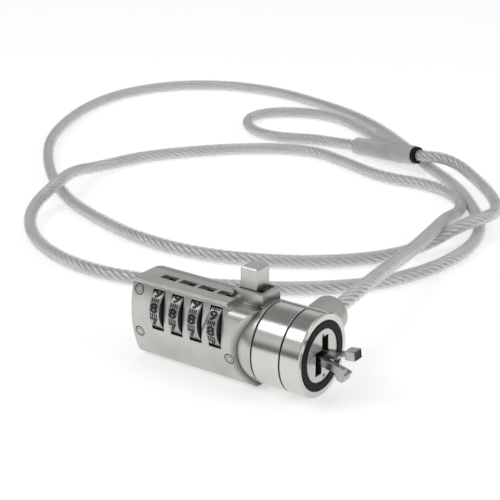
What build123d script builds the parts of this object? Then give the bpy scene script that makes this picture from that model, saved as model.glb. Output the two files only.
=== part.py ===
from build123d import *
import math
import os

# Laptop cable lock: four dials, a push button and a scissor hook on a swivelling head,
# with its steel cable laid in two loose loops behind it and ended in a fixed eye.
# Millimetres. +X runs along the head's axis, from the dials to the hook. The dials face -Y,
# the button points up, and the origin is on the table under the middle of the lock.

os.makedirs("parts", exist_ok=True)

# ---- driving dimensions ----
ORIGIN_SHIFT = 1.87     # the lock is drawn this much in front of where it is saved
HEAD_Y = -6.45          # axis of the head, along X
HEAD_Z = 10.0
HEAD_R = 10.0
SPINDLE_Y = -11.25      # axis of the dials, along X
SPINDLE_Z = 13.9

BODY_X0 = -28.9         # left end of the housing
DECK_X1 = -1.2          # end of the raised deck over the dials
BODY_X1 = 5.6           # end of the shoulder, under the dome
BASE_Z = 0.6            # underside of the housing
DECK_Z = 20.6           # top of the deck
SHOULDER_Z = 19.3       # top of the shoulder beside the deck
FRONT_Y = -15.7         # foremost line of the bulged front face
BACK_Y = 3.2            # rearmost line of the rear cover
SPLIT_Y = -2.4          # parting plane between housing and rear cover

DIAL_COUNT = 4
DIAL_PITCH = 5.6
DIAL_X0 = -20.9         # middle of the first dial
DIAL_R = 5.9
DIAL_W = 3.0
HUB_R = 3.2
HUB_L = 3.4
POCKET_R = 6.15
POCKET_W = 3.45
WINDOW_Z0 = 9.2
SHAFT_R = 1.2
FIT = 0.06              # radial clearance of a turning or sliding fit

NECK_R = 7.4            # spigot that carries the swivel ring
NECK_X0 = 6.4
NECK_X1 = 16.4
RING_GAP = 0.45
RING_W = 7.25
NOSE_X0 = NECK_X0 + 2 * RING_GAP + RING_W
NOSE_X1 = 19.4
RUBBER_R1 = 8.35
CORE_R = 6.4
CORE_X0 = 9.2
CORE_X1 = 19.3

PIVOT_X = 15.8          # pin of the scissor hook
PIN_R = 0.8
ARM_T = 1.4             # thickness of each hook arm
ARM_GAP = 0.1
UPPER_ANGLE = 7.0       # how far each arm stands open
LOWER_ANGLE = -12.0

BUTTON_X = 0.0
BUTTON_Y = -5.45
PLATFORM_Z = 22.1

BOSS_R = 4.7            # cable boss on the swivel ring
BOSS_TILT = 7.0         # degrees above level
BOSS_REACH = 19.8       # from the head's axis to the end of the boss
RING_X = NECK_X0 + RING_GAP + RING_W / 2

CABLE_R = 2.0

dial_xs = [DIAL_X0 + i * DIAL_PITCH for i in range(DIAL_COUNT)]


def across(x):
    """The plane square to X at x: its own x runs along Y and its own y along Z."""
    return Plane(origin=(x, 0, 0), x_dir=(0, 1, 0), z_dir=(1, 0, 0))


def facing_front(y):
    """The plane square to Y at y: its own x runs along X, its own y along Z, normal to -Y."""
    return Plane(origin=(0, y, 0), x_dir=(1, 0, 0), z_dir=(0, -1, 0))


def through(y, z):
    """The plane through a line parallel to X: a profile on it is revolved about that line."""
    return Plane(origin=(0, y, z), x_dir=(1, 0, 0), z_dir=(0, -1, 0))


def save(part, name):
    """Writes a piece, moved so that the origin is under the middle of the lock."""
    placed = part.moved(Location((0, ORIGIN_SHIFT, 0)))
    placed.label = name
    export_step(placed, "parts/" + name + ".step")


# ---- outer profile of the casing, square to X ----
LIP_Z = 19.8
LIP_Y = -14.75
DECK_Y0 = -14.5
DECK_Y1 = -6.85
FRONT_BOTTOM_Y = -13.2
FRONT_TOP_Y = -14.4
FRONT_MID_Z = 12.0
REAR_TOP = (0.4, 17.2)
REAR_MID = (BACK_Y, 10.4)
REAR_LOW = (2.5, 4.6)
REAR_FOOT_Y = 0.3

with BuildSketch(across(BODY_X0)) as deck_profile:
    with BuildLine():
        ThreePointArc((FRONT_BOTTOM_Y, 1.4), (FRONT_Y, FRONT_MID_Z), (FRONT_TOP_Y, LIP_Z))
        Polyline((FRONT_TOP_Y, LIP_Z), (LIP_Y, LIP_Z), (LIP_Y, DECK_Z - 0.35), (DECK_Y0, DECK_Z),
                 (DECK_Y1, DECK_Z))
        ThreePointArc((DECK_Y1, DECK_Z), REAR_TOP, REAR_MID)
        ThreePointArc(REAR_MID, REAR_LOW, (REAR_FOOT_Y, BASE_Z))
        Line((REAR_FOOT_Y, BASE_Z), (FRONT_BOTTOM_Y + 0.9, BASE_Z))
        Line((FRONT_BOTTOM_Y + 0.9, BASE_Z), (FRONT_BOTTOM_Y, 1.4))
    make_face()

CHEEK_R = 5.0           # how the front face rounds in towards the dome
SHOULDER_ROUND = 3.0    # rounding of the top front edge beside the deck
SHOULDER_Y = -15.31     # where that rounding meets the front face
with BuildPart() as casing:
    extrude(deck_profile.sketch, amount=BODY_X1 - BODY_X0, dir=(1, 0, 0))
    # beside the deck the top is lower and rounded
    with BuildSketch(across(DECK_X1)):
        with BuildLine():
            Polyline((FRONT_Y - 1, SHOULDER_Z - SHOULDER_ROUND), (FRONT_Y - 1, DECK_Z + 1),
                     (BACK_Y + 1, DECK_Z + 1), (BACK_Y + 1, SHOULDER_Z - 6), (-3.0, SHOULDER_Z),
                     (SHOULDER_Y + SHOULDER_ROUND, SHOULDER_Z))
            RadiusArc((SHOULDER_Y + SHOULDER_ROUND, SHOULDER_Z),
                      (SHOULDER_Y, SHOULDER_Z - SHOULDER_ROUND), -SHOULDER_ROUND)
            Line((SHOULDER_Y, SHOULDER_Z - SHOULDER_ROUND),
                 (FRONT_Y - 1, SHOULDER_Z - SHOULDER_ROUND))
        make_face()
    extrude(amount=BODY_X1 - DECK_X1 + 1, mode=Mode.SUBTRACT)
    # the right end of the front face rounds in
    with BuildSketch(Plane.XY):
        with BuildLine():
            Polyline((BODY_X1 + 1, FRONT_Y - 1), (BODY_X1 + 1, FRONT_Y + CHEEK_R),
                     (BODY_X1, FRONT_Y + CHEEK_R))
            RadiusArc((BODY_X1, FRONT_Y + CHEEK_R), (BODY_X1 - CHEEK_R, FRONT_Y), CHEEK_R)
            Polyline((BODY_X1 - CHEEK_R, FRONT_Y), (BODY_X1 - CHEEK_R, FRONT_Y - 1),
                     (BODY_X1 + 1, FRONT_Y - 1))
        make_face()
    extrude(amount=DECK_Z + 1, mode=Mode.SUBTRACT)

DOME_R = 8.0
with BuildPart() as dome:
    with BuildSketch(through(HEAD_Y, HEAD_Z)):
        with BuildLine():
            dome_arc = JernArc(start=(NECK_X0, HEAD_R), tangent=(-1, 0), radius=DOME_R, arc_size=60)
            Polyline(dome_arc @ 1, ((dome_arc @ 1).X, 0), (NECK_X1, 0), (NECK_X1, NECK_R),
                     (NECK_X0, NECK_R), (NECK_X0, HEAD_R))
        make_face()
    revolve(axis=Axis((0, HEAD_Y, HEAD_Z), (1, 0, 0)))

# ---- housing: front casting with the deck, platform, dome and swivel spigot ----
PLATFORM_X0 = -3.6
PLATFORM_X1 = 5.03
PLATFORM_Y0 = -9.55
PLATFORM_Y1 = SPLIT_Y
PLATFORM_BASE = 14.3
WELL_X0 = -2.55
WELL_X1 = 3.9
WELL_Y0 = -8.2
WELL_Y1 = -2.9
WELL_Z = 16.5           # floor of the button's well
BLADE_X0 = -1.2
BLADE_X1 = 3.55
BLADE_Y0 = -4.0
BLADE_Y1 = -3.0
WORKS_X0 = -1.7
WORKS_X1 = 2.8
WORKS_X2 = 3.8          # the works space is longer behind the cheek
WORKS_Y0 = -13.8
WORKS_Z0 = 6.4
WORKS_Z1 = 15.2
COLLAR_BORE_R = 3.6
SCREW_R = 2.2
SCREW_L = 1.2
SLOT_L = 4.5            # setting slots in the deck, one over each dial
SLOT_W = 2.2
SLOT_BACK = 0.5         # each slot stands this far left of its dial
SLOT_Y = -10.0
TROUGH_HALF = 3.45
TROUGH_X0 = dial_xs[0] - POCKET_W / 2 - 2.1
PIN_HEAD_R = 1.15
# x, z and rear end of each drive pin
DRIVE_PINS = [(-26.8, 18.1, -5.0), (-26.8, 7.4, -0.5), (-0.3, 7.2, -14.1)]

with BuildPart() as housing:
    add(casing.part)
    # everything behind the parting plane belongs to the rear cover
    with Locations((0, SPLIT_Y, 0)):
        Box(80, 40, 80, align=(Align.CENTER, Align.MIN, Align.CENTER), mode=Mode.SUBTRACT)
    add(dome.part)
    # platform around the button
    with Locations((PLATFORM_X0, PLATFORM_Y0, PLATFORM_BASE)):
        Box(PLATFORM_X1 - PLATFORM_X0, PLATFORM_Y1 - PLATFORM_Y0, PLATFORM_Z - PLATFORM_BASE,
            align=(Align.MIN, Align.MIN, Align.MIN))
    with Locations((WELL_X0, WELL_Y0, WELL_Z)):
        Box(WELL_X1 - WELL_X0, WELL_Y1 - WELL_Y0, PLATFORM_Z - WELL_Z,
            align=(Align.MIN, Align.MIN, Align.MIN), mode=Mode.SUBTRACT)
    # a pocket for each dial, open to the front as a window and to the rear for assembly
    for x in dial_xs:
        with BuildSketch(across(x - POCKET_W / 2)):
            with Locations((SPINDLE_Y, SPINDLE_Z)):
                Circle(POCKET_R)
            with BuildLine():
                Polyline((SPINDLE_Y, SPINDLE_Z + POCKET_R), (-7.0, 19.6), (SPLIT_Y, 18.0), (SPLIT_Y, 6.0),
                         (SPINDLE_Y, SPINDLE_Z - POCKET_R), (SPINDLE_Y, SPINDLE_Z + POCKET_R))
            make_face()
            with Locations((FRONT_Y, (WINDOW_Z0 + SPINDLE_Z) / 2)):
                Rectangle(3.4, SPINDLE_Z - WINDOW_Z0)
        extrude(amount=POCKET_W, mode=Mode.SUBTRACT)
        with Locations((x - SLOT_BACK, SLOT_Y, DECK_Z)):
            Box(SLOT_L, SLOT_W, 2.4, mode=Mode.SUBTRACT)
    # trough of the spindle and hubs through the partitions
    with BuildSketch(across(TROUGH_X0)):
        with Locations((SPINDLE_Y, SPINDLE_Z)):
            Circle(TROUGH_HALF)
        with Locations(((SPINDLE_Y + SPLIT_Y) / 2, SPINDLE_Z)):
            Rectangle(SPLIT_Y - SPINDLE_Y, 2 * TROUGH_HALF)
    extrude(amount=-4.5 - TROUGH_X0, mode=Mode.SUBTRACT)
    with Locations(Location((-5.0, SPINDLE_Y, SPINDLE_Z), (0, 90, 0))):
        Cylinder(SHAFT_R + FIT, 4, align=(Align.CENTER, Align.CENTER, Align.MIN), mode=Mode.SUBTRACT)
    # works space under the button, and the blade's way down into it
    with Locations((WORKS_X0, WORKS_Y0, WORKS_Z0)):
        Box(WORKS_X1 - WORKS_X0, SPLIT_Y - WORKS_Y0, WORKS_Z1 - WORKS_Z0,
            align=(Align.MIN, Align.MIN, Align.MIN), mode=Mode.SUBTRACT)
        Box(WORKS_X1 - WORKS_X0, 4.2, 16.8 - WORKS_Z0, align=(Align.MIN, Align.MIN, Align.MIN),
            mode=Mode.SUBTRACT)
    with Locations((WORKS_X0, -10.2, WORKS_Z0)):
        Box(WORKS_X2 - WORKS_X0, SPLIT_Y + 10.2, WORKS_Z1 - WORKS_Z0,
            align=(Align.MIN, Align.MIN, Align.MIN), mode=Mode.SUBTRACT)
    with Locations((BLADE_X0 - 0.2, BLADE_Y0 - 0.15, WORKS_Z0)):
        Box(BLADE_X1 - BLADE_X0 + 0.4, WELL_Y1 - BLADE_Y0 + 0.15, WELL_Z - WORKS_Z0 + 0.5,
            align=(Align.MIN, Align.MIN, Align.MIN), mode=Mode.SUBTRACT)
    # bore for the plunger's collar and spring, then the seat of the nose core
    with Locations(Location((WORKS_X1 - 0.5, HEAD_Y, HEAD_Z), (0, 90, 0))):
        Cylinder(COLLAR_BORE_R, CORE_X0 - WORKS_X1 + 0.5,
                 align=(Align.CENTER, Align.CENTER, Align.MIN), mode=Mode.SUBTRACT)
    with Locations(Location((CORE_X0, HEAD_Y, HEAD_Z), (0, 90, 0))):
        Cylinder(CORE_R, NECK_X1 - CORE_X0, align=(Align.CENTER, Align.CENTER, Align.MIN),
                 mode=Mode.SUBTRACT)
    # left wall: the reset screw's seat, then the bearing of the spindle
    with Locations(Location((BODY_X0, SPINDLE_Y, SPINDLE_Z), (0, 90, 0))):
        Cylinder(SCREW_R + FIT, SCREW_L + 0.1, align=(Align.CENTER, Align.CENTER, Align.MIN),
                 mode=Mode.SUBTRACT)
        Cylinder(SHAFT_R + FIT, 6, align=(Align.CENTER, Align.CENTER, Align.MIN), mode=Mode.SUBTRACT)
    for x, z, back in DRIVE_PINS:
        with Locations(Location((x, back, z), (90, 0, 0))):
            Cylinder(PIN_HEAD_R, 20, align=(Align.CENTER, Align.CENTER, Align.MIN), mode=Mode.SUBTRACT)
save(housing.part, "housing")

# ---- rear cover ----
COVER_HOLLOW_Y = -1.2
with BuildPart() as rear_cover:
    add(casing.part)
    with Locations((0, SPLIT_Y, 0)):
        Box(80, 40, 80, align=(Align.CENTER, Align.MAX, Align.CENTER), mode=Mode.SUBTRACT)
    add(dome.part, mode=Mode.SUBTRACT)
    # hollow behind the detent spring
    with Locations((TROUGH_X0, SPLIT_Y, 6.0)):
        Box(20, COVER_HOLLOW_Y - SPLIT_Y, 10.0, align=(Align.MIN, Align.MIN, Align.MIN),
            mode=Mode.SUBTRACT)
    for x, z, back in DRIVE_PINS:
        with Locations(Location((x, back, z), (90, 0, 0))):
            Cylinder(PIN_HEAD_R, 20, align=(Align.CENTER, Align.CENTER, Align.MIN), mode=Mode.SUBTRACT)
save(rear_cover.part, "rear_cover")

# ---- drive pins, flush with the front face ----
with BuildPart() as drive_pins:
    for x, z, back in DRIVE_PINS:
        with Locations(Location((x, back, z), (90, 0, 0))):
            Cylinder(PIN_HEAD_R, 20, align=(Align.CENTER, Align.CENTER, Align.MIN))
    add(casing.part, mode=Mode.INTERSECT)
save(drive_pins.part, "drive_pins")

# ---- dials and their hubs ----
NUMERALS = 10
NOTCH_DEPTH = 0.35
NOTCH_W = 0.9
NOTCH_ANGLES = [4, 4, 4, 21]    # first notch of each dial, from straight behind it, as it is set
KEY_R = 2.4
KEY_W = 1.5
RELIEF_L = 2.0
for index, x in enumerate(dial_xs):
    with BuildPart() as dial:
        with Locations(Location((x, SPINDLE_Y, SPINDLE_Z), (0, 90, 0))):
            Cylinder(DIAL_R, DIAL_W)
            Cylinder(HUB_R, DIAL_W, mode=Mode.SUBTRACT)
        # detent notches between the numerals
        with BuildSketch(across(x - DIAL_W / 2)):
            with Locations((SPINDLE_Y, SPINDLE_Z)):
                with PolarLocations(DIAL_R, NUMERALS, start_angle=NOTCH_ANGLES[index]):
                    Rectangle(2 * NOTCH_DEPTH, NOTCH_W)
        extrude(amount=DIAL_W, mode=Mode.SUBTRACT)
    save(dial.part, f"dial_{index + 1}")
    with BuildPart() as hub:
        with Locations(Location((x, SPINDLE_Y, SPINDLE_Z), (0, 90, 0))):
            Cylinder(HUB_R, HUB_L)
            Cylinder(SHAFT_R + FIT, HUB_L, mode=Mode.SUBTRACT)
        with Locations((x, SPINDLE_Y, SPINDLE_Z + KEY_R / 2)):
            Box(HUB_L, KEY_W, KEY_R, mode=Mode.SUBTRACT)
        # relief that the spindle's tooth stands in once the slide has moved
        with Locations(Location((x - HUB_L / 2, SPINDLE_Y, SPINDLE_Z), (0, 90, 0))):
            Cylinder(KEY_R, RELIEF_L, align=(Align.CENTER, Align.CENTER, Align.MIN), mode=Mode.SUBTRACT)
    save(hub.part, f"hub_{index + 1}")

# ---- release slide: toothed spindle, yoke and plunger ----
BUTTON_TRAVEL = 3.0     # how far the button goes down
SLIDE_TRAVEL = 2.0      # how far that pushes the slide towards the hook
TOOTH_R = 2.2
TOOTH_W = 1.0
TOOTH_L = 1.2
SPINDLE_X0 = -27.5
YOKE_X0 = -1.5
YOKE_T = 1.0
SPINDLE_X1 = YOKE_X0 + YOKE_T
with BuildPart() as spindle:
    with Locations(Location((SPINDLE_X0, SPINDLE_Y, SPINDLE_Z), (0, 90, 0))):
        Cylinder(SHAFT_R, SPINDLE_X1 - SPINDLE_X0, align=(Align.CENTER, Align.CENTER, Align.MIN))
    for x in dial_xs:
        with Locations((x - DIAL_PITCH / 2, SPINDLE_Y, SPINDLE_Z + TOOTH_R / 2)):
            Box(TOOTH_L, TOOTH_W, TOOTH_R)
save(spindle.part, "spindle")

PLUNGER_R = 1.6
YOKE_R0 = 1.9
YOKE_R1 = 2.2
with BuildPart() as yoke:
    with BuildSketch(across(YOKE_X0)):
        with Locations((SPINDLE_Y, SPINDLE_Z)):
            Circle(YOKE_R0)
        with Locations((HEAD_Y, HEAD_Z)):
            Circle(YOKE_R1)
        make_hull()
        with Locations((SPINDLE_Y, SPINDLE_Z)):
            Circle(SHAFT_R, mode=Mode.SUBTRACT)
        with Locations((HEAD_Y, HEAD_Z)):
            Circle(PLUNGER_R, mode=Mode.SUBTRACT)
    extrude(amount=YOKE_T)
save(yoke.part, "yoke")

COLLAR_X0 = 1.45
COLLAR_T = 1.0
COLLAR_R = 3.2
CUP_X0 = 10.4
CUP_FLOOR = 0.8
CUP_X1 = 12.8
CUP_R = 3.3
CUP_BORE_R = 2.6
with BuildPart() as plunger:
    with BuildSketch(through(HEAD_Y, HEAD_Z)):
        with BuildLine():
            Polyline((YOKE_X0, 0), (YOKE_X0, PLUNGER_R), (COLLAR_X0, PLUNGER_R), (COLLAR_X0, COLLAR_R),
                     (COLLAR_X0 + COLLAR_T, COLLAR_R), (COLLAR_X0 + COLLAR_T, PLUNGER_R),
                     (CUP_X0, PLUNGER_R), (CUP_X0, CUP_R), (CUP_X1, CUP_R), (CUP_X1, CUP_BORE_R),
                     (CUP_X0 + CUP_FLOOR, CUP_BORE_R), (CUP_X0 + CUP_FLOOR, 0), (YOKE_X0, 0))
        make_face()
    revolve(axis=Axis((0, HEAD_Y, HEAD_Z), (1, 0, 0)))
save(plunger.part, "plunger")


def coil(start, direction, radius, wire, height, turns):
    """A round-wire compression spring that stands on its start point."""
    with BuildPart() as spring:
        with BuildLine() as centre:
            Helix(pitch=height / turns, height=height, radius=radius, center=start, direction=direction)
        with BuildSketch(Plane(origin=centre.line @ 0, z_dir=centre.line % 0)):
            Circle(wire)
        sweep(is_frenet=True)
    return spring.part


PLUNGER_SPRING_X0 = 4.8
PLUNGER_SPRING_X1 = 8.8
save(coil((PLUNGER_SPRING_X0, HEAD_Y, HEAD_Z), (1, 0, 0), 2.5, 0.35,
          PLUNGER_SPRING_X1 - PLUNGER_SPRING_X0, 4), "plunger_spring")

# ---- push button with its cam blade, and its spring ----
BUTTON_X0 = -2.2
BUTTON_X1 = 2.3
BUTTON_Y0 = -7.9
BUTTON_Z0 = 20.2
BUTTON_TOP = 27.3
CAM_X = 1.35
CAM_Z = 12.1
BLADE_Z0 = 9.7
CAM_SLOPE = SLIDE_TRAVEL / BUTTON_TRAVEL
with BuildPart() as button:
    with Locations((BUTTON_X0, BUTTON_Y0, BUTTON_Z0)):
        Box(BUTTON_X1 - BUTTON_X0, BLADE_Y1 - BUTTON_Y0, BUTTON_TOP - BUTTON_Z0,
            align=(Align.MIN, Align.MIN, Align.MIN))
    chamfer(button.faces().sort_by(Axis.Z)[-1].edges(), length=0.35)
    with BuildSketch(facing_front(BLADE_Y1)):
        with BuildLine():
            Polyline((BLADE_X0, BLADE_Z0), (CAM_X + (BLADE_Z0 - CAM_Z) * CAM_SLOPE, BLADE_Z0),
                     (BLADE_X1, CAM_Z + (BLADE_X1 - CAM_X) / CAM_SLOPE), (BLADE_X1, BUTTON_Z0 + 0.8),
                     (BLADE_X0, BUTTON_Z0 + 0.8), (BLADE_X0, BLADE_Z0))
        make_face()
    extrude(amount=BLADE_Y1 - BLADE_Y0)
save(button.part, "button")

BUTTON_SPRING_Y = -6.1
save(coil((0, BUTTON_SPRING_Y, WELL_Z + 0.3), (0, 0, 1), 1.35, 0.25,
          BUTTON_Z0 - WELL_Z - 0.6, 4), "button_spring")

# ---- detent spring: one plate with a finger behind each dial ----
PLATE_Y0 = -3.3
PLATE_Y1 = -2.6
FINGER_Y = -5.1
with BuildPart() as detent_spring:
    with Locations(((dial_xs[0] + dial_xs[-1]) / 2, (PLATE_Y0 + PLATE_Y1) / 2, SPINDLE_Z)):
        Box(dial_xs[-1] - dial_xs[0] + 3.0, PLATE_Y1 - PLATE_Y0, 5.0)
    for x in dial_xs:
        with Locations((x, (FINGER_Y + PLATE_Y0) / 2, SPINDLE_Z)):
            Box(1.8, PLATE_Y0 - FINGER_Y, 1.0)
save(detent_spring.part, "detent_spring")

# ---- reset screw in the left end ----
with BuildPart() as reset_screw:
    with Locations(Location((BODY_X0, SPINDLE_Y, SPINDLE_Z), (0, 90, 0))):
        Cylinder(SCREW_R, SCREW_L, align=(Align.CENTER, Align.CENTER, Align.MIN))
    with Locations((BODY_X0, SPINDLE_Y, SPINDLE_Z)):
        Box(1.0, 3.4, 0.7, mode=Mode.SUBTRACT)
save(reset_screw.part, "reset_screw")

# ---- swivel ring with the cable boss ----
BOSS_POCKET_R = 3.02
BOSS_SHELF = 15.0       # where the ferrule bears, from the head's axis
CABLE_BORE_R = 2.05
SWEEP_R = 10.35         # parts wider than the ring stay outside this radius
tilt = math.radians(BOSS_TILT)
boss_direction = Vector(0, math.cos(tilt), math.sin(tilt))
head_centre = Vector(RING_X, HEAD_Y, HEAD_Z)


def on_boss(distance):
    """The plane square to the boss's axis, at a distance from the head's axis."""
    return Plane(origin=head_centre + boss_direction * distance, x_dir=(1, 0, 0), z_dir=boss_direction)


with BuildPart() as swivel_ring:
    with BuildSketch(on_boss(0)):
        Circle(BOSS_R)
    extrude(amount=BOSS_REACH)
    fillet(swivel_ring.faces().sort_by(Axis.Y)[-1].edges(), radius=3.2)
    for start, width in ((-40.0, 40.0 + RING_X - RING_W / 2), (RING_X + RING_W / 2, 40.0)):
        with Locations(Location((start, HEAD_Y, HEAD_Z), (0, 90, 0))):
            Cylinder(SWEEP_R, width, align=(Align.CENTER, Align.CENTER, Align.MIN), mode=Mode.SUBTRACT)
    with Locations(Location((RING_X, HEAD_Y, HEAD_Z), (0, 90, 0))):
        Cylinder(HEAD_R, RING_W)
        Cylinder(NECK_R + FIT, RING_W, mode=Mode.SUBTRACT)
    with BuildSketch(on_boss(0)):
        Circle(BOSS_POCKET_R)
    extrude(amount=BOSS_SHELF, mode=Mode.SUBTRACT)
    with BuildSketch(on_boss(BOSS_SHELF)):
        Circle(CABLE_BORE_R)
    extrude(amount=BOSS_REACH, mode=Mode.SUBTRACT)
save(swivel_ring.part, "swivel_ring")

FERRULE_R = 3.0
FERRULE_START = 10.5
CABLE_START = 11.0
with BuildPart() as cable_ferrule:
    with BuildSketch(on_boss(FERRULE_START)):
        Circle(FERRULE_R)
    extrude(amount=BOSS_SHELF - FERRULE_START)
    with BuildSketch(on_boss(CABLE_START)):
        Circle(CABLE_R)
    extrude(amount=BOSS_SHELF - CABLE_START, mode=Mode.SUBTRACT)
save(cable_ferrule.part, "cable_ferrule")

# ---- nose: cap, rubber ring, core, pin ----
LIP_R = 6.42
LIP_X0 = 16.5
RECESS_X = 17.6
RECESS_R = 8.37
RIM_ROUND = 0.4
with BuildPart() as nose_cap:
    with BuildSketch(through(HEAD_Y, HEAD_Z)):
        with BuildLine():
            Polyline((NOSE_X0, NECK_R), (NOSE_X0, HEAD_R), (NOSE_X1 - RIM_ROUND, HEAD_R))
            RadiusArc((NOSE_X1 - RIM_ROUND, HEAD_R), (NOSE_X1, HEAD_R - RIM_ROUND), RIM_ROUND)
            Polyline((NOSE_X1, HEAD_R - RIM_ROUND), (NOSE_X1, RECESS_R), (RECESS_X, RECESS_R),
                     (RECESS_X, LIP_R), (LIP_X0, LIP_R), (LIP_X0, NECK_R), (NOSE_X0, NECK_R))
        make_face()
    revolve(axis=Axis((0, HEAD_Y, HEAD_Z), (1, 0, 0)))
save(nose_cap.part, "nose_cap")

RUBBER_X1 = 19.55
with BuildPart() as rubber_ring:
    with Locations(Location((RECESS_X, HEAD_Y, HEAD_Z), (0, 90, 0))):
        Cylinder(RUBBER_R1, RUBBER_X1 - RECESS_X, align=(Align.CENTER, Align.CENTER, Align.MIN))
        Cylinder(LIP_R, RUBBER_X1 - RECESS_X, align=(Align.CENTER, Align.CENTER, Align.MIN),
                 mode=Mode.SUBTRACT)
save(rubber_ring.part, "rubber_ring")

CUP_BORE_X0 = 10.0
CUP_BORE_X1 = 14.9
SLOT_X0 = 12.0
SLOT_LONG = 5.8
SLOT_WIDE = 2.6
with BuildPart() as nose_core:
    with Locations(Location((CORE_X0, HEAD_Y, HEAD_Z), (0, 90, 0))):
        Cylinder(CORE_R - 0.02, CORE_X1 - CORE_X0, align=(Align.CENTER, Align.CENTER, Align.MIN))
        Cylinder(PLUNGER_R + FIT, 2, align=(Align.CENTER, Align.CENTER, Align.MIN), mode=Mode.SUBTRACT)
    with Locations(Location((CUP_BORE_X0, HEAD_Y, HEAD_Z), (0, 90, 0))):
        Cylinder(CUP_R + FIT, CUP_BORE_X1 - CUP_BORE_X0, align=(Align.CENTER, Align.CENTER, Align.MIN),
                 mode=Mode.SUBTRACT)
    # Z-shaped slot: one half rises for the upper arm, the other drops for the lower arm
    with Locations((SLOT_X0, HEAD_Y, HEAD_Z - 1.3)):
        Box(10, SLOT_WIDE, SLOT_LONG, align=(Align.MIN, Align.MIN, Align.MIN), mode=Mode.SUBTRACT)
    with Locations((SLOT_X0, HEAD_Y, HEAD_Z + 1.4)):
        Box(10, SLOT_WIDE, SLOT_LONG, align=(Align.MIN, Align.MAX, Align.MAX), mode=Mode.SUBTRACT)
    with Locations(Location((PIVOT_X, HEAD_Y, HEAD_Z), (90, 0, 0))):
        Cylinder(PIN_R, 20, mode=Mode.SUBTRACT)
    for y, z in ((-6.0, 14.8), (-5.5, 4.8)):
        with Locations(Location((CORE_X1, y, z), (0, 90, 0))):
            Cylinder(0.4, 1.2, mode=Mode.SUBTRACT)
save(nose_core.part, "nose_core")

HOOK_PIN_L = 12.4
with BuildPart() as hook_pin:
    with Locations(Location((PIVOT_X, HEAD_Y, HEAD_Z), (90, 0, 0))):
        Cylinder(PIN_R, HOOK_PIN_L)
save(hook_pin.part, "hook_pin")

# ---- scissor hook: two arms side by side on the pin ----
ARM_HALF = 0.95
TAIL = 2.0
HOOK_W = 2 * ARM_T + ARM_GAP


def arm_plane(y, angle):
    """Side plane of an arm: x along the arm from the pin, y upwards, normal towards -Y."""
    turn = math.radians(angle)
    return Plane(origin=(PIVOT_X, y, HEAD_Z), x_dir=(math.cos(turn), 0, math.sin(turn)), z_dir=(0, -1, 0))


UPPER_Y = HEAD_Y + ARM_GAP / 2
LOWER_Y = HEAD_Y - ARM_GAP / 2
with BuildPart() as upper_arm:
    with BuildSketch(arm_plane(UPPER_Y + ARM_T, UPPER_ANGLE)):
        with BuildLine():
            Polyline((-TAIL, -ARM_HALF), (7.4, -ARM_HALF), (8.0, 0.1), (13.2, 0.1), (13.2, 2.2),
                     (10.7, 2.2), (10.0, ARM_HALF), (-TAIL, ARM_HALF), (-TAIL, -ARM_HALF))
        make_face()
        Circle(PIN_R + FIT, mode=Mode.SUBTRACT)
    extrude(amount=ARM_T)
    with BuildSketch(arm_plane(UPPER_Y + ARM_T, UPPER_ANGLE)):
        with Locations((11.95, 1.15)):
            Rectangle(2.5, 2.1)
    extrude(amount=HOOK_W)
save(upper_arm.part, "upper_arm")

with BuildPart() as lower_arm:
    with BuildSketch(arm_plane(LOWER_Y, LOWER_ANGLE)):
        with BuildLine():
            Polyline((-TAIL, -ARM_HALF), (8.2, -ARM_HALF), (9.2, -2.3), (10.6, -2.3), (11.0, -0.3),
                     (10.5, -0.1), (10.2, ARM_HALF), (-TAIL, ARM_HALF), (-TAIL, -ARM_HALF))
        make_face()
        Circle(PIN_R + FIT, mode=Mode.SUBTRACT)
    extrude(amount=ARM_T)
    with BuildSketch(arm_plane(LOWER_Y + ARM_T + ARM_GAP, LOWER_ANGLE)):
        with BuildLine():
            Polyline((8.6, -0.1), (8.2, -ARM_HALF), (9.2, -2.3), (10.6, -2.3), (11.0, -0.3), (10.5, -0.1),
                     (8.6, -0.1))
        make_face()
    extrude(amount=HOOK_W)
save(lower_arm.part, "lower_arm")

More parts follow.
